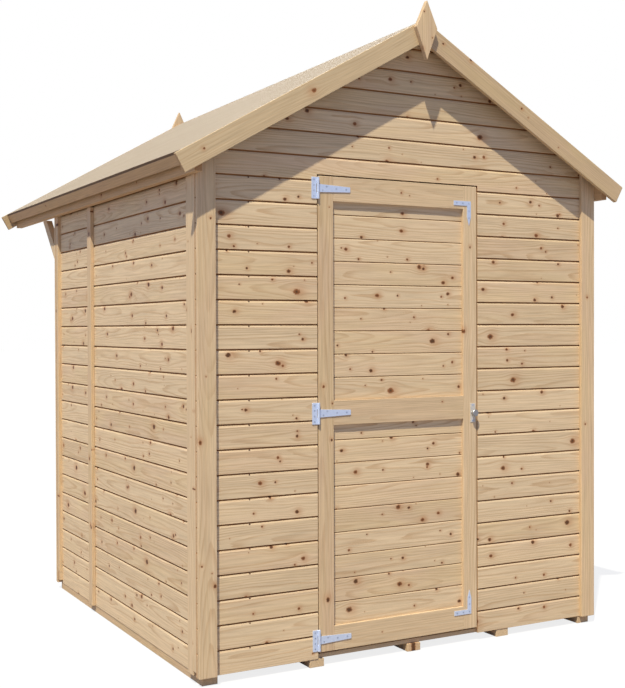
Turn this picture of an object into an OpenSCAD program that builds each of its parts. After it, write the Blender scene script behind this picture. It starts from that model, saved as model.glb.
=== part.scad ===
// Small timber garden shed with an apex roof and one boarded door.
// Origin: on the ground, under the middle of the shed's box. Front faces -Y, Z is up. Millimetres.

/* [Footprint] */
// Width across the front and back panels
shed_w = 1828; // [1500:1:2400]
// Depth from the front corner boards to the back corner boards
shed_d = 1778; // [1450:1:2600]
// Depth at which the wide and the narrow side panel meet
joint_y = 1235; // [900:1:1300]

/* [Floor] */
// Height of the floor bearers
bearer_h = 30; // [25:1:60]
// Width of one floor bearer
bearer_w = 60; // [40:1:90]
// Number of floor bearers
bearer_count = 5; // [3:1:7]
// Step back of the outer bearers from the panel edges
bearer_inset = 18; // [16:1:30]
// Thickness of the floor deck
deck_t = 16; // [12:1:20]

/* [Walls] */
// Thickness of the wall boards
board_t = 12; // [10:1:16]
// Depth of the wall framing behind the boards
frame_t = 28; // [22:1:45]
// Width of one framing timber
frame_w = 44; // [34:1:60]
// Step in of the side boards from the panel edges
side_inset = 16; // [12:1:20]
// Number of studs in a wide side panel
wide_studs = 4; // [3:1:5]
// Number of studs in a narrow side panel
narrow_studs = 2; // [2:1:3]

/* [Trims] */
// Width of a front or back corner board
corner_w = 70; // [50:1:90]
// Thickness of a front or back corner board
corner_t = 16; // [12:1:20]
// Width of a strip over a side joint
strip_w = 50; // [40:1:70]

/* [Roof] */
// Slope of the roof in degrees
roof_pitch = 29.7; // [24:0.1:36]
// Reach of the roof sheets past the side of the panels
eave_reach = 79; // [60:1:140]
// Reach of the roof sheets past the front corner boards
front_reach = 44; // [40:1:120]
// Reach of the roof sheets past the back corner boards
back_reach = 618; // [300:1:700]
// Thickness of the roof sheets
sheet_t = 9; // [8:1:18]
// Drop of an eaves rail's bottom below the head of the doorway
rail_drop = 29; // [20:1:45]
// Depth of an eaves rail where it meets the panel
rail_d = 104.2; // [95:0.1:150]
// Thickness of an eaves rail
rail_t = 28; // [22:1:45]
// Width of the ridge beam
ridge_w = 44; // [34:1:60]
// Depth of the ridge beam below the roof sheets
ridge_d = 60; // [50:1:70]
// Width of a middle purlin along the slope
purlin_w = 28; // [22:1:45]
// Depth of a middle purlin
purlin_d = 44; // [34:1:60]
// Thickness of the eave fascia
fascia_t = 12; // [9:1:18]
// Depth of the eave fascia below the sheet
fascia_d = 41; // [30:1:55]

/* [Gable boards] */
// Depth of a bargeboard
barge_d = 75; // [60:1:85]
// Thickness of a bargeboard
barge_t = 16; // [12:1:20]
// Length of a bargeboard beyond the edge of the roof sheets
barge_past = 30; // [0:1:50]
// Width of a finial
finial_w = 96; // [80:1:120]
// Height of a finial
finial_h = 226; // [180:1:240]
// Height of a finial's tip above the ridge
finial_rise = 69; // [50:1:90]
// Height of a finial's widest point below its tip
finial_drop = 104; // [80:1:120]
// Thickness of a finial
finial_t = 20; // [12:1:24]

/* [Rear struts] */
// Reach of a strut behind the back corner board
strut_reach = 200; // [150:1:260]
// Width of a strut in its own plane
strut_w = 44; // [34:1:60]
// Thickness of a strut
strut_t = 28; // [22:1:45]

/* [Door] */
// Distance from the left panel edge to the door
door_x = 490; // [440:1:560]
// Width of the door
door_w = 727; // [600:1:760]
// Height of the door's lower edge above the deck
door_rise = 7; // [5:1:15]
// Height of the door
door_h = 1773; // [1450:1:2200]
// Thickness of the door frame
door_t = 28; // [24:1:34]
// Thickness of the boards in the door
panel_t = 12; // [9:1:14]
// Step back of the boards from the face of the door frame
panel_recess = 12; // [6:1:12]
// Width of the door's stiles
stile_w = 65; // [55:1:90]
// Height of the door's rails
door_rail_h = 92; // [70:1:120]
// Height of the middle rail's centre above the door's lower edge
mid_rail_rise = 891; // [700:1:1000]
// Gap around the door
door_gap = 5; // [5:0.5:8]
// Width of a door stop
stop_w = 16; // [12:1:25]
// Thickness of a door stop
stop_t = 12; // [9:1:16]

/* [Hinges] */
// Height of a hinge plate
plate_h = 80; // [70:1:100]
// Width of a hinge plate beside its barrel
plate_w = 20; // [16:1:30]
// Gap between a hinge plate and its barrel
plate_gap = 1; // [0.5:0.1:2]
// Length of a hinge strap from the pin
strap_l = 140; // [100:1:200]
// Height of a strap at its root
strap_root_h = 30; // [24:1:36]
// Height of a strap at its tip
strap_tip_h = 17; // [12:1:22]
// Thickness of the hinge metal
hinge_t = 2.5; // [2:0.1:3]
// Radius of a hinge barrel
barrel_r = 5; // [4.5:0.1:6]
// Radius of a hinge pin
pin_r = 2; // [1.5:0.1:2.2]
// Clearance around the pin in the strap's barrel
pin_play = 0.1; // [0.05:0.05:0.1]

/* [Knob and brackets] */
// Diameter of the knob
knob_dia = 30; // [20:1:34]
// Diameter of the knob's neck
knob_neck_dia = 15; // [10:1:18]
// Diameter of the knob's foot and of its flat face
knob_face_dia = 20; // [16:1:24]
// Reach of the knob in front of the door
knob_reach = 24; // [20:1:35]
// Height of the cone at the knob's foot
knob_foot = 5; // [2:1:6]
// Height of the flare under the knob's rim
knob_flare = 5; // [2:1:6]
// Height of the knob's rim
knob_rim = 4; // [2:1:6]
// Height of the bevel over the knob's rim
knob_bevel = 4; // [2:1:6]
// Distance of the knob from the door's edge
knob_edge = 20; // [18:1:40]
// Height of the knob above the door's lower edge
knob_rise = 867; // [700:1:1000]
// Width of the plate behind the knob
knob_plate_w = 26; // [20:1:34]
// Height of the plate behind the knob
knob_plate_h = 88; // [60:1:100]
// Thickness of the plate behind the knob
knob_plate_t = 1.5; // [1:0.1:3]
// Length of a corner bracket's arm along the rail
bracket_across = 83; // [50:1:100]
// Length of a corner bracket's arm along the stile
bracket_down = 97; // [60:1:120]
// Width of an arm of a corner bracket
bracket_w = 18; // [12:1:24]
// Length of the point at the end of a corner bracket's arm
bracket_point = 34; // [10:1:40]
// Distance of a corner bracket from the door's free edge
bracket_edge = 29; // [15:1:40]
// Distance of a corner bracket's arm above the rail's inner edge
bracket_seat = 32; // [20:1:50]
// Thickness of a corner bracket
bracket_t = 2; // [1.5:0.1:3]

/* [Hidden] */
$fn = 48;
// Saw cut between two lengths that meet
SLIT = 0.4;
// Clearance under the roof sheets and around what runs through a gable
SEAT = 0.1;
// How far a cutter passes the face it cuts
OVER = 1;

// Places across the shed
half_w = shed_w / 2;
clad_x = half_w - side_inset;
side_frame_x = clad_x - board_t;
door_l = -half_w + door_x;
door_r = door_l + door_w;
hole_l = door_l - door_gap;
hole_r = door_r + door_gap;

// Places along the shed, from the face of the front corner boards
front_y = corner_t;
front_frame_y = front_y + board_t;
side_y0 = front_frame_y + frame_t;
back_y = shed_d - corner_t;
back_frame_y = back_y - board_t;
side_y1 = back_frame_y - frame_t;
roof_y0 = -front_reach;
roof_y1 = shed_d + back_reach;
mid_y = (roof_y0 + roof_y1) / 2;

// Heights
deck_z = bearer_h + deck_t;
door_z = deck_z + door_rise;
door_top = door_z + door_h;
head_z = door_top + door_gap;
rail_z = head_z - rail_drop;
wall_top = rail_z + frame_w;
mid_rail_z = door_z + mid_rail_rise;

// Roof: what lies under the sheets starts at depth under_t, measured square to the slope
under_t = sheet_t + SEAT;
eave_x = half_w + eave_reach;
slope_l = eave_x / cos(roof_pitch);
mid_slope = slope_l / 2;
ridge_z = rail_z + rail_d + half_w * tan(roof_pitch) + under_t / cos(roof_pitch);
// Height of the plane at depth t below the roof's top face, at distance x from the ridge
function roof_z(x, t) = ridge_z - x * tan(roof_pitch) - t / cos(roof_pitch);

// Door leaf and hinges
hinge_x = door_l - door_gap / 2;
hinge_y = front_y - barrel_r;
hinge_zs = [
    door_z + door_rail_h / 2,
    mid_rail_z,
    door_top - door_rail_h / 2
];
door_rail_zs = [
    door_z,
    mid_rail_z - door_rail_h / 2,
    door_top - door_rail_h
];
knuckle_h = (plate_h - strap_root_h) / 2 - SLIT;
knob_x = door_r - knob_edge;
knob_z = door_z + knob_rise;

PINE = [0.80, 0.69, 0.53];
PALE_PINE = [0.84, 0.74, 0.58];
SHEET = [0.84, 0.77, 0.66];
ZINC = [0.72, 0.76, 0.80];

// Everything is drawn from the front face and moved so that the origin is under the middle.
module placed() {
    translate([0, -mid_y, 0])
        children();
}

// A board between two corners
module board(low, high) {
    translate(low)
        cube([high[0] - low[0], high[1] - low[1], high[2] - low[2]]);
}

// An outline in X and Z, carried along Y from y0 to y1
module along_y(y0, y1) {
    translate([0, y1, 0])
        rotate([90, 0, 0])
            linear_extrude(height = y1 - y0)
                children();
}

// The child on one side of the shed, or on the other: side is -1 for left and 1 for right
module on_side(side) {
    if (side < 0)
        mirror([1, 0, 0])
            children();
    else
        children();
}

// A length along the right slope: s runs down from the ridge, t runs down from the roof's top face
function slope_point(s, t) = [
    s * cos(roof_pitch) - t * sin(roof_pitch),
    ridge_z - s * sin(roof_pitch) - t * cos(roof_pitch)
];

// Outline of the ridge beam, with its top fitted under the two sheets
module ridge_outline() {
    side_top = roof_z(ridge_w / 2, under_t);
    polygon([
        [-ridge_w / 2, side_top - ridge_d],
        [ridge_w / 2, side_top - ridge_d],
        [ridge_w / 2, side_top],
        [0, roof_z(0, under_t)],
        [-ridge_w / 2, side_top]
    ]);
}

// A rectangle on the right slope: s is measured down the slope and t square to it
module slope_box(s0, s1, t0, t1) {
    polygon([
        slope_point(s0, t0),
        slope_point(s1, t0),
        slope_point(s1, t1),
        slope_point(s0, t1)
    ]);
}

// Outline of the middle purlin on the right slope
module purlin_outline() {
    slope_box(mid_slope - purlin_w / 2, mid_slope + purlin_w / 2, under_t, under_t + purlin_d);
}

// What is cut from a gable on the right slope for the purlin
module purlin_notch() {
    reach = purlin_w / 2 + SEAT;
    slope_box(mid_slope - reach, mid_slope + reach, under_t - OVER, under_t + purlin_d + SEAT);
}

// The gable boarding over a wall, notched round the ridge beam and the purlins
module gable_outline() {
    notch_z = roof_z(ridge_w / 2, under_t) - ridge_d - SEAT;
    difference() {
        polygon([
            [-half_w, head_z],
            [half_w, head_z],
            [half_w, roof_z(half_w, under_t)],
            [0, roof_z(0, under_t)],
            [-half_w, roof_z(half_w, under_t)]
        ]);
        translate([-ridge_w / 2 - SEAT, notch_z])
            square([ridge_w + 2 * SEAT, ridge_z - notch_z]);
        purlin_notch();
        mirror([1, 0])
            purlin_notch();
    }
}

// A row of uprights of one frame, set along Y on one side of the shed
module side_uprights(y0, y1, count) {
    step = (y1 - y0 - frame_w) / (count - 1);
    for (i = [0 : count - 1])
        board(
            [side_frame_x - frame_t, y0 + i * step, deck_z + frame_w],
            [side_frame_x, y0 + i * step + frame_w, wall_top - frame_w]
        );
}

// The bottom and top rails of one side frame
module side_frame_rails(y0, y1) {
    for (z = [deck_z, wall_top - frame_w])
        board(
            [side_frame_x - frame_t, y0, z],
            [side_frame_x, y1, z + frame_w]
        );
}

module side_studs() {
    side_uprights(side_y0, joint_y - SLIT, wide_studs);
    side_uprights(joint_y + SLIT, side_y1, narrow_studs);
}

module side_rails() {
    side_frame_rails(side_y0, joint_y - SLIT);
    side_frame_rails(joint_y + SLIT, side_y1);
}

module side_boards(y0, y1) {
    board([side_frame_x, y0, bearer_h], [clad_x, y1, wall_top]);
}

module side_strips() {
    top = rail_z - SLIT;
    board([clad_x, side_y0, bearer_h], [half_w, side_y0 + strip_w, top]);
    board([clad_x, joint_y - strip_w / 2, bearer_h], [half_w, joint_y + strip_w / 2, top]);
}

// The two corner boards of one end, run up to the underside of the roof sheets
module corner_boards(y0, y1) {
    corner_x = half_w - corner_w;
    for (side = [-1, 1])
        on_side(side)
            along_y(y0, y1)
                polygon([
                    [corner_x, bearer_h],
                    [half_w, bearer_h],
                    [half_w, roof_z(half_w, under_t)],
                    [corner_x, roof_z(corner_x, under_t)]
                ]);
}

// One sheet of the right slope, cut plumb at the ridge
module sheet_outline() {
    polygon([
        slope_point(0, 0),
        slope_point(slope_l, 0),
        slope_point(slope_l, sheet_t),
        [0, roof_z(0, sheet_t)]
    ]);
}

module rail_outline() {
    polygon([
        [half_w, rail_z],
        [half_w + rail_t, rail_z],
        [half_w + rail_t, roof_z(half_w + rail_t, under_t)],
        [half_w, roof_z(half_w, under_t)]
    ]);
}

module fascia_outline() {
    slope_box(slope_l - fascia_t, slope_l, under_t, under_t + fascia_d);
}

// One bargeboard of the right slope, mitred at the ridge and cut square at its foot
module barge_outline() {
    foot = slope_l + barge_past;
    polygon([
        slope_point(0, 0),
        slope_point(foot, 0),
        slope_point(foot, barge_d),
        [0, roof_z(0, barge_d)]
    ]);
}

module bargeboards(y0, y1) {
    along_y(y0, y1) {
        translate([SLIT / 2, 0])
            barge_outline();
        mirror([1, 0])
            translate([SLIT / 2, 0])
                barge_outline();
    }
}

module finial(y0, y1) {
    tip = ridge_z + finial_rise;
    along_y(y0, y1)
        polygon([
            [0, tip],
            [finial_w / 2, tip - finial_drop],
            [0, tip - finial_h],
            [-finial_w / 2, tip - finial_drop]
        ]);
}

module floor_bearers() {
    color(PINE)
        placed() {
            span = shed_w - 2 * bearer_inset - bearer_w;
            for (i = [0 : bearer_count - 1]) {
                x = -half_w + bearer_inset + i * span / (bearer_count - 1);
                board([x, front_frame_y, 0], [x + bearer_w, back_frame_y, bearer_h]);
            }
        }
}

module floor_deck() {
    color(PALE_PINE)
        placed()
            board([-side_frame_x, front_frame_y, bearer_h], [side_frame_x, back_frame_y, deck_z]);
}

module front_wall_left() {
    color(PINE)
        placed()
            board([-half_w, front_y, bearer_h], [hole_l, front_frame_y, head_z]);
}

module front_wall_right() {
    color(PINE)
        placed()
            board([hole_r, front_y, bearer_h], [half_w, front_frame_y, head_z]);
}

module front_gable() {
    color(PINE)
        placed()
            along_y(front_y, front_frame_y)
                gable_outline();
}

module back_wall() {
    color(PINE)
        placed()
            board([-half_w, back_frame_y, bearer_h], [half_w, back_y, head_z]);
}

module back_gable() {
    color(PINE)
        placed()
            along_y(back_frame_y, back_y)
                gable_outline();
}

module left_wall_front() {
    color(PINE)
        placed()
            on_side(-1)
                side_boards(side_y0, joint_y);
}

module left_wall_rear() {
    color(PINE)
        placed()
            on_side(-1)
                side_boards(joint_y, side_y1);
}

module right_wall_front() {
    color(PINE)
        placed()
            on_side(1)
                side_boards(side_y0, joint_y);
}

module right_wall_rear() {
    color(PINE)
        placed()
            on_side(1)
                side_boards(joint_y, side_y1);
}

// Corner and door studs of the front frame
module front_studs() {
    color(PALE_PINE)
        placed()
            for (x = [-half_w, hole_l - frame_w, hole_r, half_w - frame_w])
                board([x, front_frame_y, deck_z], [x + frame_w, side_y0, head_z]);
}

// Rails between the front studs, and the head over them
module front_rails() {
    color(PALE_PINE)
        placed() {
            board(
                [-half_w + frame_w, front_frame_y, deck_z],
                [hole_l - frame_w, side_y0, deck_z + frame_w]
            );
            board(
                [hole_r + frame_w, front_frame_y, deck_z],
                [half_w - frame_w, side_y0, deck_z + frame_w]
            );
            board([-half_w, front_frame_y, head_z], [half_w, side_y0, head_z + frame_w]);
        }
}

module back_studs() {
    color(PALE_PINE)
        placed()
            for (x = [-half_w, -frame_w / 2, half_w - frame_w])
                board([x, side_y1, deck_z + frame_w], [x + frame_w, back_frame_y, head_z]);
}

module back_rails() {
    color(PALE_PINE)
        placed()
            for (z = [deck_z, head_z])
                board([-half_w, side_y1, z], [half_w, back_frame_y, z + frame_w]);
}

module left_studs() {
    color(PALE_PINE)
        placed()
            on_side(-1)
                side_studs();
}

module left_rails() {
    color(PALE_PINE)
        placed()
            on_side(-1)
                side_rails();
}

module right_studs() {
    color(PALE_PINE)
        placed()
            on_side(1)
                side_studs();
}

module right_rails() {
    color(PALE_PINE)
        placed()
            on_side(1)
                side_rails();
}

module front_corner_boards() {
    color(PALE_PINE)
        placed()
            corner_boards(0, corner_t);
}

module back_corner_boards() {
    color(PALE_PINE)
        placed()
            corner_boards(back_y, shed_d);
}

module left_joint_strips() {
    color(PALE_PINE)
        placed()
            on_side(-1)
                side_strips();
}

module right_joint_strips() {
    color(PALE_PINE)
        placed()
            on_side(1)
                side_strips();
}

// Strips inside the doorway that the closed door meets
module door_stops() {
    y0 = front_y + door_t + door_gap;
    color(PALE_PINE)
        placed() {
            board([hole_l, y0, deck_z], [hole_l + stop_w, y0 + stop_t, head_z]);
            board([hole_r - stop_w, y0, deck_z], [hole_r, y0 + stop_t, head_z]);
        }
}

module roof_sheet_left() {
    color(SHEET)
        placed()
            on_side(-1)
                along_y(roof_y0, roof_y1)
                    sheet_outline();
}

module roof_sheet_right() {
    color(SHEET)
        placed()
            on_side(1)
                along_y(roof_y0, roof_y1)
                    sheet_outline();
}

module eaves_rail_left() {
    color(PINE)
        placed()
            on_side(-1)
                along_y(roof_y0, roof_y1)
                    rail_outline();
}

module eaves_rail_right() {
    color(PINE)
        placed()
            on_side(1)
                along_y(roof_y0, roof_y1)
                    rail_outline();
}

module ridge_beam() {
    color(PINE)
        placed()
            along_y(roof_y0, roof_y1)
                ridge_outline();
}

module roof_purlin_left() {
    color(PINE)
        placed()
            on_side(-1)
                along_y(front_y, roof_y1)
                    purlin_outline();
}

module roof_purlin_right() {
    color(PINE)
        placed()
            on_side(1)
                along_y(front_y, roof_y1)
                    purlin_outline();
}

module eave_fascia_left() {
    color(PALE_PINE)
        placed()
            on_side(-1)
                along_y(roof_y0, roof_y1)
                    fascia_outline();
}

module eave_fascia_right() {
    color(PALE_PINE)
        placed()
            on_side(1)
                along_y(roof_y0, roof_y1)
                    fascia_outline();
}

module front_bargeboards() {
    color(PALE_PINE)
        placed()
            bargeboards(roof_y0 - barge_t, roof_y0);
}

module back_bargeboards() {
    color(PALE_PINE)
        placed()
            bargeboards(roof_y1, roof_y1 + barge_t);
}

module front_finial() {
    color(PALE_PINE)
        placed()
            finial(roof_y0 - barge_t - finial_t, roof_y0 - barge_t);
}

module back_finial() {
    color(PALE_PINE)
        placed()
            finial(roof_y1 + barge_t, roof_y1 + barge_t + finial_t);
}

// Struts at 45 degrees from the back corner boards up to the eaves rails
module rear_struts() {
    drop = strut_w * sqrt(2);
    color(PINE)
        placed()
            for (side = [-1, 1])
                on_side(side)
                    translate([half_w, 0, 0])
                        rotate([90, 0, -90])
                            linear_extrude(height = strut_t)
                                polygon([
                                    [-shed_d, rail_z - strut_reach],
                                    [-shed_d - strut_reach, rail_z],
                                    [-shed_d - strut_reach + drop, rail_z],
                                    [-shed_d, rail_z - strut_reach + drop]
                                ]);
}

module door_stiles() {
    color(PALE_PINE)
        placed()
            for (x = [door_l, door_r - stile_w])
                board([x, front_y, door_z], [x + stile_w, front_y + door_t, door_top]);
}

module door_rails() {
    color(PALE_PINE)
        placed()
            for (z = door_rail_zs)
                board(
                    [door_l + stile_w, front_y, z],
                    [door_r - stile_w, front_y + door_t, z + door_rail_h]
                );
}

// The boarding above and below the middle rail
module door_panel() {
    y0 = front_y + panel_recess;
    color(PINE)
        placed()
            for (i = [0, 1])
                board(
                    [door_l + stile_w, y0, door_rail_zs[i] + door_rail_h],
                    [door_r - stile_w, y0 + panel_t, door_rail_zs[i + 1]]
                );
}

// Wall plates with their two barrels and the pin
module hinge_plates() {
    color(ZINC)
        placed()
            for (zc = hinge_zs)
                translate([hinge_x, hinge_y, zc]) {
                    y0 = barrel_r - hinge_t;
                    edge = barrel_r + plate_gap;
                    translate([-edge - plate_w, y0, -plate_h / 2])
                        cube([plate_w, hinge_t, plate_h]);
                    for (low = [-plate_h / 2, plate_h / 2 - knuckle_h]) {
                        translate([0, 0, low])
                            cylinder(r = barrel_r, h = knuckle_h);
                        translate([-edge - OVER, y0, low])
                            cube([edge + OVER, hinge_t, knuckle_h]);
                    }
                    translate([0, 0, -plate_h / 2])
                        cylinder(r = pin_r, h = plate_h);
                }
}

// Straps on the door, each with a bored barrel round its pin
module hinge_straps() {
    root = strap_root_h / 2;
    tip = strap_tip_h / 2;
    color(ZINC)
        placed()
            for (zc = hinge_zs)
                translate([hinge_x, hinge_y, zc])
                    difference() {
                        union() {
                            translate([0, 0, -root])
                                cylinder(r = barrel_r, h = strap_root_h);
                            translate([0, barrel_r, 0])
                                rotate([90, 0, 0])
                                    linear_extrude(height = hinge_t)
                                        polygon([
                                            [0, -root],
                                            [barrel_r, -root],
                                            [strap_l - tip, -tip],
                                            [strap_l, 0],
                                            [strap_l - tip, tip],
                                            [barrel_r, root],
                                            [0, root]
                                        ]);
                        }
                        translate([0, 0, -root - OVER])
                            cylinder(r = pin_r + pin_play, h = strap_root_h + 2 * OVER);
                    }
}

// Outline of an angle bracket, from its outer corner, with a square arm and a pointed one
module bracket_outline() {
    polygon([
        [0, 0],
        [-bracket_across, 0],
        [-bracket_across, -bracket_w],
        [-bracket_w, -bracket_w],
        [-bracket_w, bracket_point - bracket_down],
        [-bracket_w / 2, -bracket_down],
        [0, bracket_point - bracket_down]
    ]);
}

// Angle brackets across the top and bottom joints of the door's free stile
module corner_brackets() {
    color(ZINC)
        placed()
            for (end = [0, 1])
                translate([door_r - bracket_edge, front_y, door_z + (1 - end) * door_h])
                    mirror([0, 0, end])
                        translate([0, 0, bracket_seat - door_rail_h])
                            rotate([90, 0, 0])
                                linear_extrude(height = bracket_t)
                                    bracket_outline();
}

// Round knob on an upright plate
module door_knob() {
    rim_z = knob_reach - knob_bevel - knob_rim;
    color(ZINC)
        placed()
            translate([knob_x, front_y, knob_z])
                rotate([90, 0, 0]) {
                    translate([-knob_plate_w / 2, -knob_plate_h / 2, 0])
                        cube([knob_plate_w, knob_plate_h, knob_plate_t]);
                    rotate_extrude()
                        polygon([
                            [0, 0],
                            [knob_face_dia / 2, 0],
                            [knob_neck_dia / 2, knob_foot],
                            [knob_neck_dia / 2, rim_z - knob_flare],
                            [knob_dia / 2, rim_z],
                            [knob_dia / 2, rim_z + knob_rim],
                            [knob_face_dia / 2, knob_reach],
                            [0, knob_reach]
                        ]);
                }
}

floor_bearers();
floor_deck();
front_wall_left();
front_wall_right();
front_gable();
back_wall();
back_gable();
left_wall_front();
left_wall_rear();
right_wall_front();
right_wall_rear();
front_studs();
front_rails();
back_studs();
back_rails();
left_studs();
left_rails();
right_studs();
right_rails();
front_corner_boards();
back_corner_boards();
left_joint_strips();
right_joint_strips();
door_stops();
roof_sheet_left();
roof_sheet_right();
eaves_rail_left();
eaves_rail_right();
ridge_beam();
roof_purlin_left();
roof_purlin_right();
eave_fascia_left();
eave_fascia_right();
front_bargeboards();
back_bargeboards();
front_finial();
back_finial();
rear_struts();
door_stiles();
door_rails();
door_panel();
hinge_plates();
hinge_straps();
corner_brackets();
door_knob();
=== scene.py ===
import math
import bpy
import numpy as np
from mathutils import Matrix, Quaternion, Vector


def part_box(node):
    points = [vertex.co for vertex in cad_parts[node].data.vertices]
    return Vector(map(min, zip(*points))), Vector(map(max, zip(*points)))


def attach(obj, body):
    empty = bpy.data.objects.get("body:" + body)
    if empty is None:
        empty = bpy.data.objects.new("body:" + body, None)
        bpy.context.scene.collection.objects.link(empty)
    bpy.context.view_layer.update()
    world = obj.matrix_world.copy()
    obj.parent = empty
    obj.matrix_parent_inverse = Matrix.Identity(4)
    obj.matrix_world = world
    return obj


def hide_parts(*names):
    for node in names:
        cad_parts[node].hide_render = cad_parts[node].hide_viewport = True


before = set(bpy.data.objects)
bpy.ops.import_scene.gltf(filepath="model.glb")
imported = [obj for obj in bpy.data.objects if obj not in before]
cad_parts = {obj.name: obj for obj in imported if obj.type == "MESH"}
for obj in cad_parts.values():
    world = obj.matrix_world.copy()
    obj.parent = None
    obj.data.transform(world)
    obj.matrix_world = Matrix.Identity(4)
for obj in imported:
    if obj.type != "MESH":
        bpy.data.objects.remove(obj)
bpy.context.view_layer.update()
dice = np.random.default_rng(41)


class Wire:
    # one output of a node; arithmetic on wires adds Math nodes
    def __init__(self, maker, socket):
        self.maker, self.socket = maker, socket

    def of(self, output):  # another output of the same node
        return Wire(self.maker, self.socket.node.outputs[output])

    def math(self, operation, *others):
        return self.maker.node("ShaderNodeMath", {"operation": operation}, dict(enumerate((self, *others))))

    def turned(self, operation, other):  # this wire is the second number
        return self.maker.node("ShaderNodeMath", {"operation": operation}, {0: other, 1: self})

    def __add__(self, other):
        return self.math("ADD", other)

    def __sub__(self, other):
        return self.math("SUBTRACT", other)

    def __rsub__(self, other):
        return self.turned("SUBTRACT", other)

    def __mul__(self, other):
        return self.math("MULTIPLY", other)

    def __truediv__(self, other):
        return self.math("DIVIDE", other)

    def __rtruediv__(self, other):
        return self.turned("DIVIDE", other)

    __radd__ = __add__
    __rmul__ = __mul__


class Nodes:
    # the node tree of a material or a world, and the ways to add to it
    def __init__(self, owner):
        self.owner = owner
        owner.use_nodes = True
        self.tree = owner.node_tree
        self.tree.nodes.clear()

    def node(self, kind, settings=None, inputs=None):
        # settings are set first, then each socket gets a number, a colour, a vector or a link
        made = self.tree.nodes.new(kind)
        for key, value in (settings or {}).items():
            setattr(made, key, value)
        for key, value in (inputs or {}).items():
            if isinstance(value, Wire):
                self.tree.links.new(value.socket, made.inputs[key])
            else:
                made.inputs[key].default_value = value
        shown = [socket for socket in made.outputs if socket.enabled]
        return Wire(self, shown[0]) if shown else None

    def attribute(self, name, output):
        return self.node("ShaderNodeAttribute", {"attribute_name": name}).of(output)

    def split(self, vector):
        parts = self.node("ShaderNodeSeparateXYZ", None, {0: vector})
        return parts.of("X"), parts.of("Y"), parts.of("Z")

    def join(self, x, y, z):
        return self.node("ShaderNodeCombineXYZ", None, {0: x, 1: y, 2: z})

    def noise(self, vector, scale=1.0, detail=2.0, roughness=0.5):
        inputs = {"Vector": vector, "Scale": scale, "Detail": detail, "Roughness": roughness}
        return self.node("ShaderNodeTexNoise", None, inputs)

    def smooth(self, value, low, high, start=0.0, end=1.0):
        # smooth step from start to end while value goes from low to high
        inputs = {"Value": value, "From Min": low, "From Max": high, "To Min": start, "To Max": end}
        return self.node("ShaderNodeMapRange", {"interpolation_type": "SMOOTHSTEP"}, inputs)

    def mix(self, share, first, second, how="MIX"):
        colours = [one if isinstance(one, Wire) else (*one, 1.0) for one in (first, second)]
        settings = {"data_type": "RGBA", "blend_type": how}
        return self.node("ShaderNodeMix", settings, {0: share, 6: colours[0], 7: colours[1]})

    def shaded(self, colour, amount):
        return self.mix(1.0, colour, self.join(amount, amount, amount), "MULTIPLY")

    def bump(self, height, strength, distance):
        inputs = {"Height": height, "Strength": strength, "Distance": distance}
        return self.node("ShaderNodeBump", None, inputs)

    def close(self, **sockets):
        # the closing shader; a socket's name is written with _ for a space
        inputs = {key.replace("_", " "): value for key, value in sockets.items()}
        shader = self.node("ShaderNodeBsdfPrincipled", None, inputs)
        self.node("ShaderNodeOutputMaterial", None, {"Surface": shader})
        return self.owner


# knots: cell along the board, share of cells with a knot, smallest and largest radius
pineLook = {
    "pale": (0.700, 0.532, 0.334), "rose": (0.672, 0.490, 0.309), "straw": (0.676, 0.504, 0.296),
    "late": (0.440, 0.250, 0.112), "lateShare": 0.54, "ringPitch": 0.0062,
    "knotRed": (0.255, 0.086, 0.024), "knotDark": (0.072, 0.027, 0.009), "halo": (0.450, 0.190, 0.072),
    "knots": ((0.30, 0.64, 0.0055, 0.0115), (0.21, 0.52, 0.0036, 0.0070), (0.12, 0.28, 0.0014, 0.0032)),
    "knotBand": 0.096, "tone": 0.10, "streaks": 0.56, "fibres": 0.34, "roughness": 0.56,
    # the bare tint darkens bare end grain at the ends, and paints shade inside the joints between boards
    "bareAndJointShade": (0.62, 0.40, 0.23), "sheen": 0.20,
}


def knotLayer(f, x, y, board, cell, chance, small, large, band, seed):
    # at the most one knot in a cell, at a random place across the board
    # far = root of (along / stretched radius)^2 + (across / radius)^2
    run = x / cell + board * 7.31 + seed * 3.7
    nearest = f.node("ShaderNodeTexVoronoi", {"voronoi_dimensions": "1D"}, {"W": run, "Scale": 1.0})
    place, size, kind = f.split(nearest.of("Color"))
    dx = (run - nearest.of("W")) * cell
    dy = y - (place - 0.5) * band
    radius = size * size * (large - small) + small
    there = f.node("ShaderNodeMath", {"operation": "LESS_THAN"}, {0: kind, 1: chance})
    stretched = radius * (size * 0.35 + 1.0)
    far = ((dx * dx) / (stretched * stretched) + (dy * dy) / (radius * radius)).math("SQRT")
    fade = ((dx * dx) / (radius * radius * 16.0) + (dy * dy) / (radius * radius * 8.0)) * -1.0
    bend = fade.math("EXPONENT") * dy * there * -0.85
    side = dx / stretched  # which side of the knot along the board
    return far, there, bend, kind / chance, side


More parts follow.
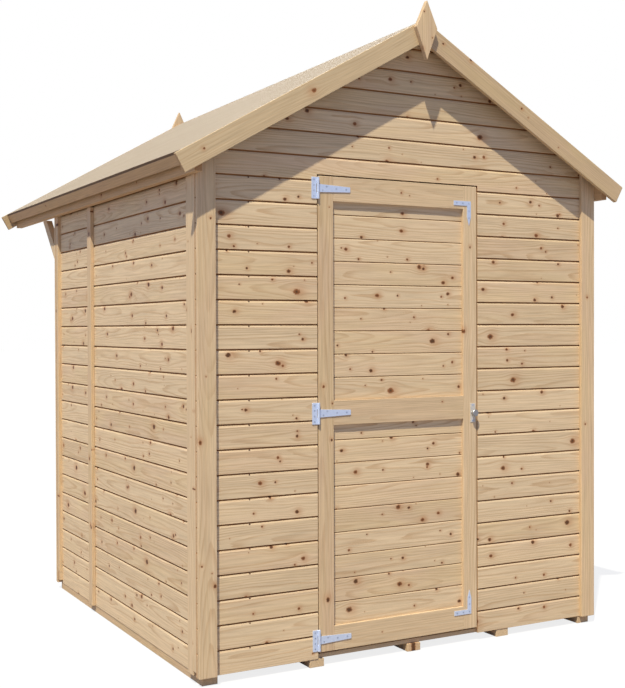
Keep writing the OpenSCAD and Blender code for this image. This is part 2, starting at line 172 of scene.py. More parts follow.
def pineFinish(name, look):
    # growth rings are circles round a pith that wanders below the face
    # ring radius = root of across^2 + depth^2; the grain is pushed aside by every knot
    f = Nodes(bpy.data.materials.new(name))
    x, y, z = f.split(f.attribute("grain", "Vector"))
    board = f.attribute("board", "Fac")
    luck = f.node("ShaderNodeTexWhiteNoise", {"noise_dimensions": "1D"}, {"W": board * 13.7}).of("Color")
    luckA, luckB, luckC = f.split(luck)
    shifted = x + board * 7.3

    layers = [knotLayer(f, x, y, board, *knots, look["knotBand"], seed)
              for seed, knots in enumerate(look["knots"])]
    bent = y
    for layer in layers:
        bent = bent + layer[2]

    pith = f.noise(f.join(shifted * 0.9, board, 0.0), detail=1.0) * 0.085 + luckC * 0.02
    side = bent - (luckA - 0.5) * 0.08
    deep = z + pith
    wander = f.noise(f.join(shifted * 3.2, bent * 26.0, z * 26.0), detail=3.0)
    phase = (((side * side + deep * deep).math("SQRT") + wander * 0.010) / look["ringPitch"]).math("FRACT")
    late = f.smooth(phase, 0.45, 0.90) * f.smooth(phase, 0.93, 1.0, 1.0, 0.0)

    fibre = f.noise(f.join(shifted * 9.0, bent * 420.0, z * 420.0), detail=3.0, roughness=0.6)
    streak = f.noise(f.join(shifted * 5.0, bent * 125.0, z * 125.0), detail=4.0, roughness=0.62)
    band = f.noise(f.join(shifted * 1.1, bent * 32.0, z * 32.0))
    patch = f.noise(f.join(shifted * 3.0, y * 11.0, board))

    colour = f.mix(f.smooth(patch, 0.36, 0.64), look["rose"], look["straw"])
    colour = f.mix(f.smooth(luckB * 0.4 + band * 0.6, 0.30, 0.66), colour, look["pale"])
    colour = f.mix(late * f.smooth(band, 0.30, 0.70, 0.35, 1.0) * look["lateShare"], colour, look["late"])
    shade = (luckA - 0.5) * look["tone"] + (streak - 0.5) * look["streaks"] + (fibre - 0.5) * look["fibres"]
    colour = f.shaded(colour, shade + 1.0)
    height = fibre * 0.5 + streak * 0.3 - late * 0.3
    gloss = fibre * 0.12 + look["roughness"]

    rough = f.noise(f.join(shifted * 150.0, y * 150.0, z * 150.0))
    for far, there, bend, kind, along in layers:
        edge = far + (rough - 0.5) * 0.9
        halo = (far * far * -0.16).math("EXPONENT") * there * f.smooth(along, -2.5, 2.5, 0.25, 1.0)
        core = f.smooth(edge, 0.70, 1.25, 1.0, 0.0) * there
        heart = f.mix(f.smooth(edge + kind * 0.5, 0.45, 1.15), look["knotDark"], look["knotRed"])
        colour = f.mix(halo * 0.62, colour, look["halo"])
        colour = f.mix(core * 0.93, colour, heart)
        height = height - core * 0.7
        gloss = gloss - core * 0.12

    # darker by the bare tint where the attribute says: the end grain's own tone at the ends, painted shade in
    # the joints between boards
    colour = f.mix(f.attribute("sawn", "Fac"), colour, f.mix(1.0, colour, look["bareAndJointShade"], "MULTIPLY"))
    return f.close(Base_Color=colour, Roughness=gloss, Specular_IOR_Level=look["sheen"],
                   Normal=f.bump(height, 0.35, 0.0006))


def tinted(look, tint, **changes):
    # the same wood with each of its three pale tones multiplied by the tint
    tones = {tone: tuple(a * b for a, b in zip(look[tone], tint)) for tone in ("pale", "rose", "straw")}
    return {**look, **tones, **changes}


planedLook = tinted(pineLook, (0.95, 0.93, 0.91), knotBand=0.060, lateShare=0.40,
                    knots=((0.46, 0.55, 0.0040, 0.0085), (0.26, 0.30, 0.0022, 0.0045)))
boardPine = pineFinish("knotty_boards", pineLook)
planedPine = pineFinish("planed_pine", planedLook)
bargePine = pineFinish("barge_pine", tinted(planedLook, (0.85, 0.86, 0.83)))
# painted shade: darker and more orange than the planed pine, standing for the shade under the roof warmed by
# light thrown up from below, for the eaves rails and fascias
eavesShadedPine = pineFinish("eaves_pine_painted_shade", tinted(planedLook, (0.84, 0.74, 0.64)))
sawnPine = pineFinish("sawn_pine", tinted(pineLook, (0.92, 0.89, 0.85), knotBand=0.035, roughness=0.68))
print("wood finishes made")

roofLook = {"base": (0.372, 0.300, 0.210), "chip": (0.31, 0.240, 0.160), "light": (0.392, 0.318, 0.224),
            "edge": (0.17, 0.105, 0.060), "sheen": 0.20}


def roofFinish(name, look, fall, reach):
    # pressed board: faint clouds and fine chips, with the sheets darker along the eaves edge
    # distance down the slope = |x| cos - z sin, and the edge lies at reach
    f = Nodes(bpy.data.materials.new(name))
    place = f.node("ShaderNodeTexCoord").of("Object")
    x, y, z = f.split(place)
    down = x.math("ABSOLUTE") * math.cos(fall) - z * math.sin(fall)
    sawnEdge = f.smooth(down, reach - 0.0018, reach - 0.0010)
    clouds = f.noise(f.join(x * 9.0, y * 2.5, z * 9.0), detail=4.0, roughness=0.6)
    chips = f.noise(place, 170.0, 3.0, 0.7)
    colour = f.mix(f.smooth(clouds, 0.35, 0.65), look["base"], look["light"])
    colour = f.mix(f.smooth(chips, 0.45, 0.75) * 0.5, colour, look["chip"])
    colour = f.mix(sawnEdge, colour, look["edge"])
    return f.close(Base_Color=colour, Roughness=chips * 0.15 + 0.62, Specular_IOR_Level=look["sheen"],
                   Normal=f.bump(chips, 0.25, 0.0005))


def zincFinish(name, bright, dull, metallic, roughness):
    # spangle: a faint patchwork of cells, with a smear over them
    f = Nodes(bpy.data.materials.new(name))
    place = f.node("ShaderNodeTexCoord").of("Object")
    cells = f.node("ShaderNodeTexVoronoi", None, {"Vector": place, "Scale": 260.0})
    patch, grit, _ = f.split(cells.of("Color"))
    smear = f.noise(place, 60.0, 3.0)
    colour = f.mix(patch * 0.5 + smear * 0.4, bright, dull)
    return f.close(Base_Color=colour, Metallic=metallic, Roughness=grit * 0.12 + roughness,
                   Normal=f.bump(smear, 0.12, 0.0004))


zincPlate = zincFinish("zinc_plate", (0.72, 0.80, 0.96), (0.60, 0.69, 0.87), 0.40, 0.40)
screwZinc = zincFinish("screw_zinc", (0.58, 0.66, 0.82), (0.44, 0.50, 0.64), 0.60, 0.36)
knobSteel = zincFinish("knob_steel", (0.50, 0.49, 0.47), (0.34, 0.33, 0.32), 0.80, 0.34)
plateSteel = zincFinish("plate_steel", (0.70, 0.65, 0.58), (0.58, 0.54, 0.48), 0.15, 0.50)
print("metal and roof finishes made")


def solidsOf(node):
    # corners of each separate solid of a CAD node; corners that share a triangle belong together
    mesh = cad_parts[node].data
    points = np.empty(len(mesh.vertices) * 3, np.float32)
    mesh.vertices.foreach_get("co", points)
    corners, index = np.unique(np.round(points.reshape(-1, 3), 5), axis=0, return_inverse=True)
    loops = np.empty(len(mesh.loops), np.int32)
    mesh.loops.foreach_get("vertex_index", loops)
    triangles = index.ravel()[loops].reshape(-1, 3)
    label = np.arange(len(corners))
    while True:
        lowest = label.copy()
        np.minimum.at(lowest, triangles, label[triangles].min(axis=1)[:, None])
        if (lowest == label).all():
            return [corners[label == one].astype(float) for one in np.unique(label)]
        label = lowest


def unit(vector):
    vector = np.asarray(vector, float)
    return vector / np.linalg.norm(vector, axis=-1, keepdims=True)


def crossAxes(axis):
    # two directions square to the axis; first x second = axis
    helper = (0.0, 0.0, 1.0) if abs(axis[2]) < 0.9 else (1.0, 0.0, 0.0)
    first = unit(np.cross(helper, axis))
    return first, np.cross(axis, first)


def endRings(corners, axis):
    # the corners at both ends of a straight timber, each set in order round the axis
    first, second = crossAxes(axis)
    along = corners @ axis
    middle = (along.min() + along.max()) / 2
    rings = []
    for half in (corners[along < middle], corners[along > middle]):
        off = half - half.mean(axis=0)
        rings.append(half[np.argsort(np.arctan2(off @ second, off @ first))])
    return rings


def eased(ring, ease, steps=3):
    # each corner P turns into (1-t)^2 A + 2t(1-t) P + t^2 B, with A and B a little before and after it
    before = ring + unit(np.roll(ring, 1, axis=0) - ring) * ease
    after = ring + unit(np.roll(ring, -1, axis=0) - ring) * ease
    t = np.linspace(0.0, 1.0, steps + 1)[None, :, None]
    curve = (1 - t) ** 2 * before[:, None] + 2 * t * (1 - t) * ring[:, None] + t ** 2 * after[:, None]
    return curve.reshape(-1, ring.shape[1])


def meshPiece(name, points, faces, material, sharpAngle=None):
    mesh = bpy.data.meshes.new(name)
    mesh.from_pydata(np.asarray(points).tolist(), [], faces)
    mesh.materials.append(material)
    if sharpAngle:
        mesh.shade_smooth()
        mesh.set_sharp_from_angle(angle=math.radians(sharpAngle))
    made = bpy.data.objects.new(name, mesh)
    bpy.context.scene.collection.objects.link(made)
    return made


def settle(made, body, nodes=()):
    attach(made, body)
    if nodes:
        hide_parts(*nodes)
    return made


class Pile:
    # rings of points carried along a length, closed at both ends, many to one piece
    def __init__(self):
        self.points, self.grain, self.board, self.sawn, self.faces = [], [], [], [], []
        self.count = 0

    def add(self, rings, grainAxes=None, sawn=0.0, endSawn=0.55):
        # rings is a grid: one row for each place along the length, one column for each point of the outline
        # the darkening, from 0 to 1, is given for each point of the outline and at the ends: at the ends it
        # is the bare end grain's own darker tone, inside the board joints it is painted shade
        rings = np.asarray(rings, float)
        rows, columns = rings.shape[:2]
        points = np.concatenate([rings.reshape(-1, 3), rings[0], rings[-1]])
        i, j = np.meshgrid(np.arange(rows - 1), np.arange(columns), indexing="ij")
        after = (j + 1) % columns
        corner = (i * columns + j, i * columns + after, (i + 1) * columns + after, (i + 1) * columns + j)
        quads = np.stack(corner, axis=-1).reshape(-1, 4)
        a, b, c, d = (points[quads[:, k]] for k in range(4))
        quads = quads[np.linalg.norm(np.cross(c - a, d - b), axis=1) > 1e-9]
        startCap = rows * columns + np.arange(columns)[::-1]
        endCap = (rows + 1) * columns + np.arange(columns)
        centre = (points.min(axis=0) + points.max(axis=0)) / 2
        axes = np.eye(3) if grainAxes is None else np.asarray(grainAxes, float)
        self.points.append(points)
        self.grain.append((points - centre) @ axes.T)
        self.board.append(np.full(len(points), dice.uniform(0.0, 10.0)))
        sides = np.broadcast_to(np.asarray(sawn, float), (rows, columns)).ravel()
        self.sawn.append(np.concatenate([sides, np.full(2 * columns, endSawn)]))
        self.faces += (quads + self.count).tolist()
        self.faces += [(startCap + self.count).tolist(), (endCap + self.count).tolist()]
        self.count += len(points)

    def length(self, ringA, ringB, grainAxes=None, ease=0.001, endSawn=0.55):
        # P(v, t) = (1-t) A(v) + t B(v), drawn in by the ease at both ends
        run = np.linalg.norm(ringB.mean(axis=0) - ringA.mean(axis=0))
        t = np.array([0.0, ease / run, 1.0 - ease / run, 1.0])[:, None, None]
        rings = (1 - t) * ringA[None] + t * ringB[None]
        for row in (0, 3):
            rings[row] += unit(rings[row].mean(axis=0) - rings[row]) * ease
        self.add(rings, grainAxes, endSawn=endSawn)

    def piece(self, name, material, body, slot, nodes=(), sharpAngle=None):
        made = meshPiece(name, np.concatenate(self.points), self.faces, material, sharpAngle)
        for key, values in (("board", self.board), ("sawn", self.sawn)):
            attribute = made.data.attributes.new(key, "FLOAT", "POINT")
            attribute.data.foreach_set("value", np.concatenate(values).astype(np.float32))
        attribute = made.data.attributes.new("grain", "FLOAT_VECTOR", "POINT")
        attribute.data.foreach_set("vector", np.concatenate(self.grain).astype(np.float32).ravel())
        return settle(made, body, nodes)


alongX, alongY, alongZ = np.eye(3)
gable = np.concatenate(solidsOf("front_gable"))
widest = gable[gable[:, 0] > gable[:, 0].max() - 1e-4]
eaveX, _, eaveZ = widest[widest[:, 2].argmax()]
sheet = solidsOf("roof_sheet_right")[0]
sheetFoot = sheet[sheet[:, 0].argmax()]
sheetTop = sheet[sheet[:, 2].argmax()]
roofFall = (sheetTop[2] - sheetFoot[2]) / (sheetFoot[0] - sheetTop[0])
roofUnder = eaveZ + roofFall * eaveX  # height of the roof's underside over the middle
slopes = [unit((-1.0, 0.0, -roofFall)), unit((1.0, 0.0, -roofFall))]

# how far edges are eased, and how far behind the face of the front boards purlins and bearers start
timberLook = {"ease": 0.0014, "trimEase": 0.0020, "sheetEase": 0.0008, "pointEase": 0.0030,
              "behindBoards": 0.004, "underBoards": 0.002}


def timberPiece(name, nodes, axes, material=planedPine, body="shed", slot="planed_timber", ease="ease",
                nearY=None, endSawn=0.55):
    # the solids of the nodes made again with eased edges and with grain along their length
    # where nearY is given, their near ends are brought to it
    pile = Pile()
    amount = timberLook[ease]
    for node in nodes:
        for corners in solidsOf(node):
            if nearY is not None:
                corners[corners[:, 1] < corners[:, 1].min() + 1e-4, 1] = nearY
            own = axes[int(corners[:, 0].mean() > 0) % len(axes)]
            ringA, ringB = endRings(corners, own)
            first, second = crossAxes(own)
            wide, thin = first, second
            if np.ptp(corners @ first) <= np.ptp(corners @ second):
                wide, thin = second, first
            pile.length(eased(ringA, amount), eased(ringB, amount), (own, wide, thin), amount, endSawn)
    return pile.piece(name, material, body, slot, nodes)


timberPiece("deck", ["floor_deck"], [alongX], sawnPine, slot="floor_timber")
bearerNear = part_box("front_wall_left")[0].y + timberLook["underBoards"]
timberPiece("bearers", ["floor_bearers"], [alongY], sawnPine, slot="floor_timber", nearY=bearerNear,
            endSawn=0.0)
for wall in ("front", "back", "left", "right"):
    timberPiece(wall + "_uprights", [wall + "_studs"], [alongZ])
    timberPiece(wall + "_crosspieces", [wall + "_rails"], [alongX if wall in ("front", "back") else alongY])
timberPiece("corner_trims", ["front_corner_boards", "back_corner_boards"], [alongZ], ease="trimEase")
timberPiece("joint_trims", ["left_joint_strips", "right_joint_strips"], [alongZ], ease="trimEase")
timberPiece("stops", ["door_stops"], [alongZ])
timberPiece("eaves_timbers", ["eaves_rail_left", "eaves_rail_right"], [alongY], eavesShadedPine)
timberPiece("ridge_timber", ["ridge_beam"], [alongY])
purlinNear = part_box("front_gable")[0].y + timberLook["behindBoards"]
timberPiece("purlins", ["roof_purlin_left", "roof_purlin_right"], [alongY], nearY=purlinNear)
timberPiece("fascias", ["eave_fascia_left", "eave_fascia_right"], [alongY], eavesShadedPine)
timberPiece("bargeboards", ["front_bargeboards", "back_bargeboards"], slopes, bargePine, ease="trimEase")
timberPiece("struts", ["rear_struts"], [unit((0.0, 1.0, 1.0))])
timberPiece("stiles", ["door_stiles"], [alongZ], body="door", ease="trimEase")
timberPiece("door_crosspieces", ["door_rails"], [alongX], body="door")


def finialPiece(name, node):
    # the pointed outline carried through its thickness, with upright grain
    pile = Pile()
    ringA, ringB = endRings(solidsOf(node)[0], alongY)
    ease = timberLook["pointEase"]
    grainAxes = (alongZ, alongX, alongY)
    pile.length(eased(ringA, ease), eased(ringB, ease), grainAxes, timberLook["ease"], endSawn=0.0)
    return pile.piece(name, planedPine, "shed", "planed_timber", [node])


finialPiece("front_point", "front_finial")
finialPiece("back_point", "back_finial")


def roofPiece():
    fall = math.atan(roofFall)
    reach = sheetFoot[0] * math.cos(fall) - sheetFoot[2] * math.sin(fall)
    roofBoard = roofFinish("roof_board", roofLook, fall, reach)
    pile = Pile()
    sheets = ["roof_sheet_left", "roof_sheet_right"]
    for node in sheets:
        ringA, ringB = endRings(solidsOf(node)[0], alongY)
        ease = timberLook["sheetEase"]
        pile.length(eased(ringA, ease), eased(ringB, ease), None, ease)
    return pile.piece("roof_sheets", roofBoard, "shed", "roof_board", sheets)


roofPiece()
print("timbers made")

# heights and depths of the joint between two boards
boardLook = {"pitch": 0.089, "bevelRise": 0.0062, "bevelDepth": 0.0021, "gap": 0.0056, "lipDepth": 0.0068,
             "chamfer": 0.0009}
doorBoardLook = {"pitch": 0.0871, "bevelRise": 0.0034, "bevelDepth": 0.0010, "gap": 0.0030,
                 "lipDepth": 0.0050, "chamfer": 0.0009}


def boardOutline(look, thick):
    # cross-section of one board as (depth behind the face, rise above its lower edge, painted shade from 0 to
    # 1)
    # the upper edge falls away in a shallow bevel, then drops into the joint, where the wood is darkened as
    # painted shade
    p, chamfer = look["pitch"], look["chamfer"]
    foot = p - look["gap"] - look["bevelRise"]
    rim = p - look["gap"]
    depth, lip = look["bevelDepth"], look["lipDepth"]
    top = p - 0.0002
    return np.array([
        (2 * chamfer, 0.0, 1.0), (chamfer, 0.0001, 1.0), (0.0, chamfer, 0.0),
        (0.0, foot, 0.0), (depth, rim, 0.0),
        (depth + 0.0002, rim + 0.0003, 1.0), (lip - 0.0006, rim + 0.0022, 1.0), (lip, rim + 0.0030, 1.0),
        (lip, top, 1.0), (thick - chamfer, top, 1.0), (thick, top - chamfer, 0.0), (thick, chamfer, 0.0),
        (thick - chamfer, 0.0, 1.0),
    ])


def addBoards(pile, look, thick, lowZ, highZ, runsOf, toPoint, grainAxes, flip):
    # a board is its outline at a few places along the wall; a place may follow the height, as under a roof
    # a run is a list of (place, lowest height, highest height), and P = toPoint(depth, place, height)
    outline = boardOutline(look, thick)
    if flip:
        outline = outline[::-1]
    for start in np.arange(lowZ, highZ - 0.003, look["pitch"]):
        z = np.clip(start + outline[:, 1], lowZ, highZ)
        for run in runsOf(start, min(start + look["pitch"], highZ)):
            rings = []
            for place, lowest, highest in run:
                heights = np.clip(z, lowest, highest)
                places = place(heights) if callable(place) else np.full(len(heights), place)
                rings.append(toPoint(outline[:, 0], places, heights))
            pile.add(rings, grainAxes, outline[:, 2])


def sidePanel(name, node, side):
    low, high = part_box(node)
    face = high.x if side > 0 else low.x
    pile = Pile()
    run = [(low.y, low.z, high.z), (high.y, low.z, high.z)]
    addBoards(pile, boardLook, high.x - low.x, low.z, high.z, lambda z0, z1: [run],
              lambda depth, along, z: np.stack([face - side * depth, along, z], axis=-1),
              (alongY, alongZ, alongX), side < 0)
    return pile.piece(name, boardPine, "shed", "wall_boards", [node])


for sideName, side in (("left", -1), ("right", 1)):
    for part in ("front", "rear"):
        sidePanel(sideName + "_boards_" + part, sideName + "_wall_" + part, side)

beamLow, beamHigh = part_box("ridge_beam")


def gableWall(name, nodes, faceY, side, lowZ, thick, doorway=None):
    # side is -1 where the face looks along -Y
    # the boards stop at the slopes, the doorway and the ridge beam; half width = (underside - z) / fall
    pile = Pile()
    beam = beamHigh.x + 0.0001
    topZ = roofUnder - roofFall * beam - 0.0004

    def rightEnd(z):  # half the width of the wall at a height
        return np.clip((roofUnder - z) / roofFall - 0.0004, 0.0, eaveX)

    def leftEnd(z):
        return -rightEnd(z)

    def runsOf(z0, z1):
        left, right, middle = [(leftEnd, 0.0, topZ)], [(rightEnd, 0.0, topZ)], []
        if doorway and z0 < doorway[2] - 0.003:
            doorL, doorR, head = doorway
            left.append((doorL, 0.0, topZ))
            right.insert(0, (doorR, 0.0, topZ))
            if z1 < head + 0.003:
                return [left, right]
            middle = [(doorL, head, topZ), (doorR, head, topZ)]
        elif z0 > beamLow.z - 0.003:
            return [left + [(-beam, 0.0, topZ)], [(beam, 0.0, topZ)] + right]
        elif z1 > beamLow.z:
            middle = [(-beam, 0.0, topZ), (-beam, 0.0, beamLow.z),
                      (beam, 0.0, beamLow.z), (beam, 0.0, topZ)]
        return [left + middle + right]

    addBoards(pile, boardLook, thick, lowZ, topZ, runsOf,
              lambda depth, along, z: np.stack([along, faceY - side * depth, z], axis=-1),
              (alongX, alongZ, alongY), side > 0)
    return pile.piece(name, boardPine, "shed", "wall_boards", nodes)


frontLow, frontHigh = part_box("front_wall_left")
backLow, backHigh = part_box("back_wall")
doorway = (frontHigh.x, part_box("front_wall_right")[0].x, frontHigh.z)  # left edge, right edge, head
gableWall("front_boards", ["front_wall_left", "front_wall_right", "front_gable"], frontLow.y, -1,
          frontLow.z, frontHigh.y - frontLow.y, doorway)
gableWall("back_boards", ["back_wall", "back_gable"], backHigh.y, 1, backLow.z, backHigh.y - backLow.y)


def doorBoards():
    pile = Pile()
    for corners in solidsOf("door_panel"):
        low, high = corners.min(axis=0), corners.max(axis=0)
        run = [(low[0], low[2], high[2]), (high[0], low[2], high[2])]
        addBoards(pile, doorBoardLook, high[1] - low[1], low[2], high[2], lambda z0, z1: [run],
                  lambda depth, along, z: np.stack([along, low[1] + depth, z], axis=-1),
                  (alongX, alongZ, alongY), False)
    return pile.piece("door_boards", boardPine, "door", "wall_boards", ["door_panel"])


doorBoards()
print("boards made")

# screws stand at heights on the plate, and at (reach past the pin, height) on the strap
hingeLook = {
    "thick": 0.0025, "corner": 0.0022, "rim": 0.0005,
    "barrel": 0.005, "barrelRim": 0.0006, "sides": 28, "knuckleGap": 0.0005,
    "root": 0.008, "tipHalf": 0.0095,
    "plateScrews": (-0.030, -0.010, 0.010, 0.030),
    "strapScrews": ((0.022, -0.007), (0.038, 0.007), (0.080, 0.0), (0.122, 0.0)),
}
screwLook = {"radius": 0.0038, "rise": 0.0011, "slotWidth": 0.0011, "rings": 9, "turns": 32}


def plateInto(pile, outline, y0, y1):
    # a flat outline of (x, z) carried from y0 to y1, with eased corners and rims
    outline = np.asarray(outline, float)
    flat = eased(outline, hingeLook["corner"])
    ringA, ringB = (np.stack([flat[:, 0], np.full(len(flat), y), flat[:, 1]], axis=-1) for y in (y0, y1))
    pile.length(ringA, ringB, None, hingeLook["rim"])


def barrelInto(pile, x, y, z0, z1, radius):
    # a cylinder on an upright axis: P = centre + radius (cos a, sin a), drawn in at both rims
    turn = np.linspace(0.0, 2 * math.pi, hingeLook["sides"], endpoint=False)
    rim = hingeLook["barrelRim"]
    rings = [np.stack([x + r * np.cos(turn), y + r * np.sin(turn), np.full(len(turn), z)], axis=-1)
             for r, z in ((radius - rim, z0), (radius, z0 + rim), (radius, z1 - rim), (radius - rim, z1))]
    pile.add(rings)


def screwHead(x, y, z, turnBy):
    # low dome with a sunk cross: height = rise (1 - r^2) less the slot depth where |u| or |v| is small
    radius, rise, wide = screwLook["radius"], screwLook["rise"], screwLook["slotWidth"]
    rings, turns = screwLook["rings"], screwLook["turns"]
    r, a = np.meshgrid(np.linspace(0.0, 1.0, rings), np.linspace(0.0, 2 * math.pi, turns, endpoint=False),
                       indexing="ij")
    u, v = r * radius * np.cos(a + turnBy), r * radius * np.sin(a + turnBy)
    slot = np.maximum(np.exp(-(u / wide) ** 4), np.exp(-(v / wide) ** 4))
    cup = np.clip((0.72 - r) / 0.15, 0.0, 1.0)
    height = rise * (1 - r ** 2) - slot * cup * rise * 0.9
    points = np.stack([x + r * radius * np.cos(a), y - height, z + r * radius * np.sin(a)], axis=-1)
    i, j = np.meshgrid(np.arange(1, rings - 1), np.arange(turns), indexing="ij")
    after = (j + 1) % turns
    corner = (i * turns + j, (i + 1) * turns + j, (i + 1) * turns + after, i * turns + after)
    quads = np.stack(corner, axis=-1)
    k = np.arange(turns)
    fan = np.stack([np.zeros(turns, int), turns + k, turns + (k + 1) % turns], axis=-1)
    back = (rings - 1) * turns + np.arange(turns)
    return points.reshape(-1, 3), quads.reshape(-1, 4).tolist() + fan.tolist() + [back[::-1].tolist()]


def screwPiece(name, places, body):
    # places are (x, y, z) of each head's centre on the metal
    points, faces, count = [], [], 0
    for x, y, z in places:
        own, ownFaces = screwHead(x, y, z, dice.uniform(0, 1.5))
        keep = np.unique(np.concatenate([np.asarray(one) for one in ownFaces]))
        renamed = np.full(len(own), -1)
        renamed[keep] = np.arange(len(keep)) + count
        points.append(own[keep])
        faces += [renamed[one].tolist() for one in ownFaces]
        count += len(keep)
    return settle(meshPiece(name, np.concatenate(points), faces, screwZinc, 40.0), body)


def hinges():
    # the fixed plates ride with the shed and the straps with the door, round one pin
    plates, straps = Pile(), Pile()
    barrel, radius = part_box("hinge_straps")[0], hingeLook["barrel"]
    pinX, pinY = barrel.x + radius, barrel.y + radius
    plateScrews, strapScrews = [], []
    for corners in solidsOf("hinge_plates"):
        low, high = corners.min(axis=0), corners.max(axis=0)
        middle = (low[2] + high[2]) / 2
        face = high[1] - hingeLook["thick"]
        edge = pinX - radius - 0.001
        plateInto(plates, [(low[0], low[2]), (edge, low[2]), (edge, high[2]), (low[0], high[2])],
                  face, high[1])
        strap = next(one for one in strapSolids if abs(one[:, 2].mean() - middle) < 0.05)
        strapLow, strapHigh = strap.min(axis=0), strap.max(axis=0)
        gap = hingeLook["knuckleGap"]
        for z0, z1 in ((low[2], strapLow[2] - gap), (strapHigh[2] + gap, high[2])):
            barrelInto(plates, pinX, pinY, z0, z1, radius)
            plateInto(plates, [(edge - 0.002, z0), (pinX, z0), (pinX, z1), (edge - 0.002, z1)],
                      face + 0.0002, high[1] - 0.0002)
        barrelInto(straps, pinX, pinY, strapLow[2], strapHigh[2], radius)
        half, tip, root = (strapHigh[2] - strapLow[2]) / 2, hingeLook["tipHalf"], pinX + hingeLook["root"]
        plateInto(straps, [(pinX, middle - half), (root, middle - half),
                           (strapHigh[0], middle - tip), (strapHigh[0], middle + tip),
                           (root, middle + half), (pinX, middle + half)],
                  strapHigh[1] - hingeLook["thick"], strapHigh[1])
        plateScrews += [((low[0] + edge) / 2, face, middle + rise) for rise in hingeLook["plateScrews"]]
        strapScrews += [(pinX + reach, face, middle + rise) for reach, rise in hingeLook["strapScrews"]]
    plates.piece("hinge_leaves", zincPlate, "shed", "zinc_plate", ["hinge_plates"], 30.0)
    straps.piece("hinge_arms", zincPlate, "door", "zinc_plate", ["hinge_straps"], 30.0)
    screwPiece("leaf_screws", plateScrews, "shed")
    screwPiece("arm_screws", strapScrews, "door")


strapSolids = solidsOf("hinge_straps")
hinges()


# the profile runs from the door outwards: (share of the knob's radius, share of its reach)
knobLook = {
    "plateHalf": 0.012, "plateRise": 0.038, "plateThick": 0.0015, "screwsAt": 0.031, "sides": 40,
    "soft": 0.0018, "faceBack": 0.0006,
    "profile": ((0.62, 0.0), (0.50, 0.2), (0.48, 0.42), (1.0, 0.66), (1.0, 0.82), (0.72, 1.0)),
}


def knob():
    # a turned knob on a plate: r(s) follows the points of its profile, softened at the bends
    low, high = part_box("door_knob")
    reach = high.y - low.y
    middleX, middleZ = (low.x + high.x) / 2, (low.z + high.z) / 2
    half = (high.x - low.x) / 2
    profile = np.array(knobLook["profile"]) * (half, reach)
    profile[-1, 1] -= knobLook["faceBack"]
    soft = eased(profile, knobLook["soft"])[2:-2]
    turn = np.linspace(0.0, 2 * math.pi, knobLook["sides"], endpoint=False)
    level = np.ones(len(turn))
    rings = [np.stack([middleX + r * np.cos(turn), (high.y - s) * level, middleZ + r * np.sin(turn)], axis=-1)
             for r, s in soft]
    body = Pile()
    body.add(rings)
    body.piece("turned_knob", knobSteel, "door", "steel_knob", ["door_knob"], 30.0)
    plate = Pile()
    left, right = middleX - knobLook["plateHalf"], middleX + knobLook["plateHalf"]
    foot, head = middleZ - knobLook["plateRise"], middleZ + knobLook["plateRise"]
    face = high.y - knobLook["plateThick"]
    plateInto(plate, [(left, foot), (right, foot), (right, head), (left, head)], face, high.y)
    plate.piece("knob_plate", plateSteel, "door", "steel_knob", sharpAngle=30.0)
    rises = (-knobLook["screwsAt"], knobLook["screwsAt"])
    screwPiece("knob_screws", [(middleX, face, middleZ + rise) for rise in rises], "door")


knob()
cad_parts["corner_brackets"].data.materials.clear()
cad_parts["corner_brackets"].data.materials.append(zincPlate)


bracketLook = {"inset": 0.009, "alongLevel": (0.0, 0.030, 0.060), "alongUpright": (0.030, 0.058)}


def bracketScrews(look):
    # three screws along the level arm, counted from the corner, and two more along the upright arm
    places = []
    middle = sum(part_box("corner_brackets")[k].z for k in (0, 1)) / 2
    for corners in solidsOf("corner_brackets"):
        low, high = corners.min(axis=0), corners.max(axis=0)
        up = 1 if low[2] > middle else -1
        corner = high[2] if up > 0 else low[2]
        level, upright = corner - up * look["inset"], high[0] - look["inset"]
        places += [(upright - reach, low[1], level) for reach in look["alongLevel"]]
        places += [(upright, low[1], level - up * reach) for reach in look["alongUpright"]]
    screwPiece("bracket_screws", places, "door")


bracketScrews(bracketLook)

# a column of nails beside the door: how far in from the wall's edge, and how far below each joint
nailLook = {"inset": 0.205, "below": 0.0085, "radius": 0.0036, "rise": 0.0008, "sunk": 0.0010, "sides": 14}
# the heads are dark brown as painted shade, for the small shadow each head leaves below its joint
nailShadeFinish = zincFinish("nail_heads_painted_shade", (0.16, 0.085, 0.045), (0.10, 0.055, 0.030), 0.2, 0.6)


def nails(look):
    # a low head in three rings: its foot in the wood, its rim, and the edge of its flat top
    turn = np.linspace(0.0, 2 * math.pi, look["sides"], endpoint=False)
    pile = Pile()
    radius, sunk = look["radius"], look["sunk"]
    x, y = frontLow.x + look["inset"], frontLow.y + sunk
    for joint in np.arange(frontLow.z + boardLook["pitch"], frontHigh.z, boardLook["pitch"]):
        z = joint - look["below"]
        rings = [np.stack([x + r * np.cos(turn), np.full(len(turn), y - h), z + r * np.sin(turn)], axis=-1)
                 for r, h in ((radius, -sunk), (radius, 0.0), (0.3 * radius, look["rise"]))]
        pile.add(rings[::-1])
    pile.piece("nail_heads", nailShadeFinish, "shed", "zinc_plate")


nails(nailLook)
print("metal made")

studioLook = {
    "suns": {"key": ((0.995, 1.0, -2.56), 4.88, 0.9, (1.0, 0.950, 0.80)),
             "left": ((1.0, 0.0, -0.15), 0.26, 40.0, (0.80, 0.88, 1.0)),
             "behind": ((-0.7, -1.0, -0.45), 0.90, 30.0, (1.0, 0.96, 0.90))},
    "skyColour": (0.475, 0.62, 1.06), "skyPower": 0.49, "backdrop": (1.0, 1.0, 1.0),
    "floorBounce": (0.31, 0.288, 0.285), "floorPale": (0.72, 0.72, 0.72), "floorLift": 0.82,
    "floorHalf": 60.0, "floorDrop": 0.0006,
    "eye": (-2.4468, -4.7979, 1.2557), "heading": 28.769, "tilt": -0.735, "roll": -0.178, "lens": 58.73,
}


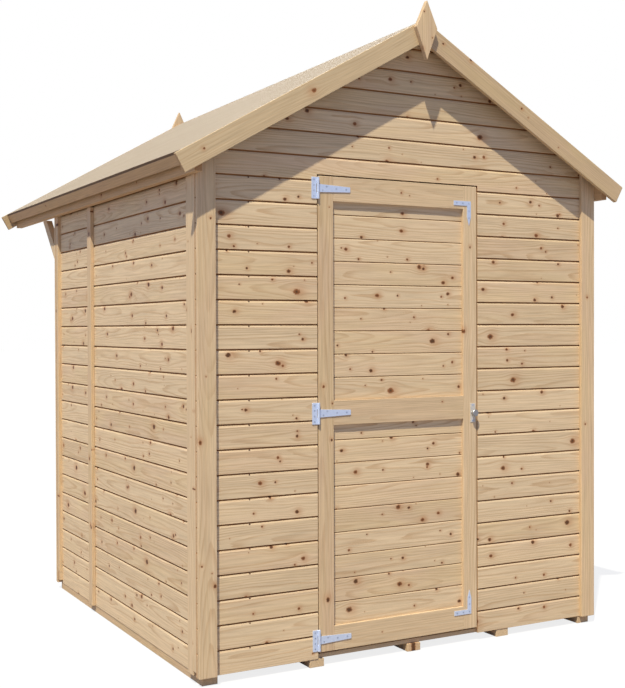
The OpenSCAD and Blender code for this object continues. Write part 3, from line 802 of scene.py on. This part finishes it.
def studioFloor(look):
    # paler to the camera than to the timber, so that little light comes back up
    f = Nodes(bpy.data.materials.new("pale_floor"))
    direct = f.node("ShaderNodeLightPath").of("Is Camera Ray")
    bounce = f.node("ShaderNodeBsdfDiffuse", None, {"Color": (*look["floorBounce"], 1.0)})
    pale = f.node("ShaderNodeBsdfDiffuse", None, {"Color": (*look["floorPale"], 1.0)})
    lift = f.node("ShaderNodeEmission", None, {"Color": (*look["backdrop"], 1.0)})
    shown = f.node("ShaderNodeMixShader", None, {0: look["floorLift"], 1: pale, 2: lift})
    both = f.node("ShaderNodeMixShader", None, {0: direct, 1: bounce, 2: shown})
    f.node("ShaderNodeOutputMaterial", None, {"Surface": both})
    half, drop = look["floorHalf"], look["floorDrop"]
    corners = [(-half, -half, -drop), (half, -half, -drop), (half, half, -drop), (-half, half, -drop)]
    meshPiece("studio_floor", corners, [[0, 1, 2, 3]], f.owner)


def studioLight(look):
    # each sun: the way its light travels, its power, the width of its disc in degrees, its colour
    for name, (travel, power, disc, colour) in look["suns"].items():
        sun = bpy.data.lights.new(name + "_light", "SUN")
        sun.energy = power
        sun.color = colour
        sun.angle = math.radians(disc)
        lamp = bpy.data.objects.new(name + "_light", sun)
        lamp.rotation_mode = "QUATERNION"
        lamp.rotation_quaternion = Vector(travel).to_track_quat("-Z", "Y")
        bpy.context.scene.collection.objects.link(lamp)

    f = Nodes(bpy.data.worlds.new("studio"))
    direct = f.node("ShaderNodeLightPath").of("Is Camera Ray")
    soft = f.node("ShaderNodeBackground", None, {0: (*look["skyColour"], 1.0), 1: look["skyPower"]})
    plain = f.node("ShaderNodeBackground", None, {0: (*look["backdrop"], 1.0)})
    either = f.node("ShaderNodeMixShader", None, {0: direct, 1: soft, 2: plain})
    f.node("ShaderNodeOutputWorld", None, {"Surface": either})
    bpy.context.scene.world = f.owner
    bpy.context.scene.view_settings.view_transform = "Standard"


def studioCamera(look):
    lens = bpy.data.cameras.new("studio_camera")
    lens.lens = look["lens"]
    lens.sensor_width = 36.0
    camera = bpy.data.objects.new("studio_camera", lens)
    heading, tilt = math.radians(look["heading"]), math.radians(look["tilt"])
    gaze = Vector((math.sin(heading) * math.cos(tilt), math.cos(heading) * math.cos(tilt), math.sin(tilt)))
    camera.location = look["eye"]
    camera.rotation_mode = "QUATERNION"
    roll = Quaternion((0, 0, 1), math.radians(look["roll"]))
    camera.rotation_quaternion = gaze.to_track_quat("-Z", "Y") @ roll
    bpy.context.scene.collection.objects.link(camera)
    bpy.context.scene.camera = camera


studioFloor(studioLook)
studioLight(studioLook)
studioCamera(studioLook)
print("studio made")
